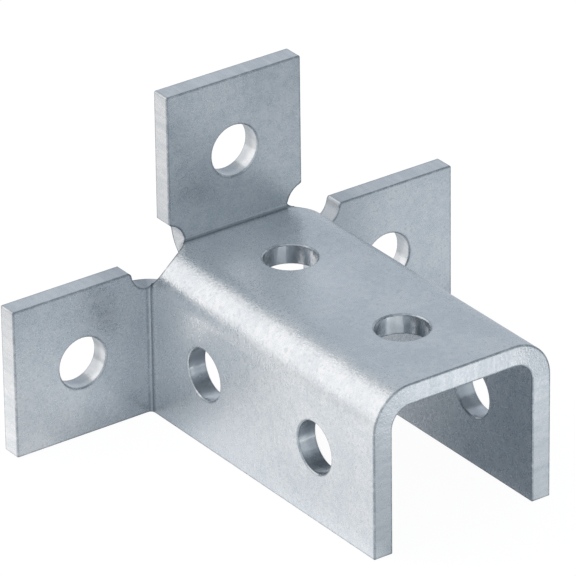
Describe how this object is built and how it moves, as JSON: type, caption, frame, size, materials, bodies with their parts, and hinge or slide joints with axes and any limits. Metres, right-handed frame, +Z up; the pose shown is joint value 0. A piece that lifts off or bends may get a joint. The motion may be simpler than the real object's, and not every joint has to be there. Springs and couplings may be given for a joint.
{
  "type": "three-way wing connector",
  "caption": "Folded steel fitting for strut channel: a U-shaped sleeve whose web and flanges turn out at one end into square wings with bolt holes.",
  "frame": {"origin": "middle of the bottom of the bounding box, level with the free ends of the flanges", "axes": "+X to the right across the channel, +Y along the channel towards the wings, +Z up through the web"},
  "size_m": [0.1366, 0.101, 0.0867],
  "materials": {
    "steel": "zinc plated, satin, faintly mottled"
  },
  "bodies": {
    "root": {"wing_connector": "steel"}
  },
  "joints": []
}
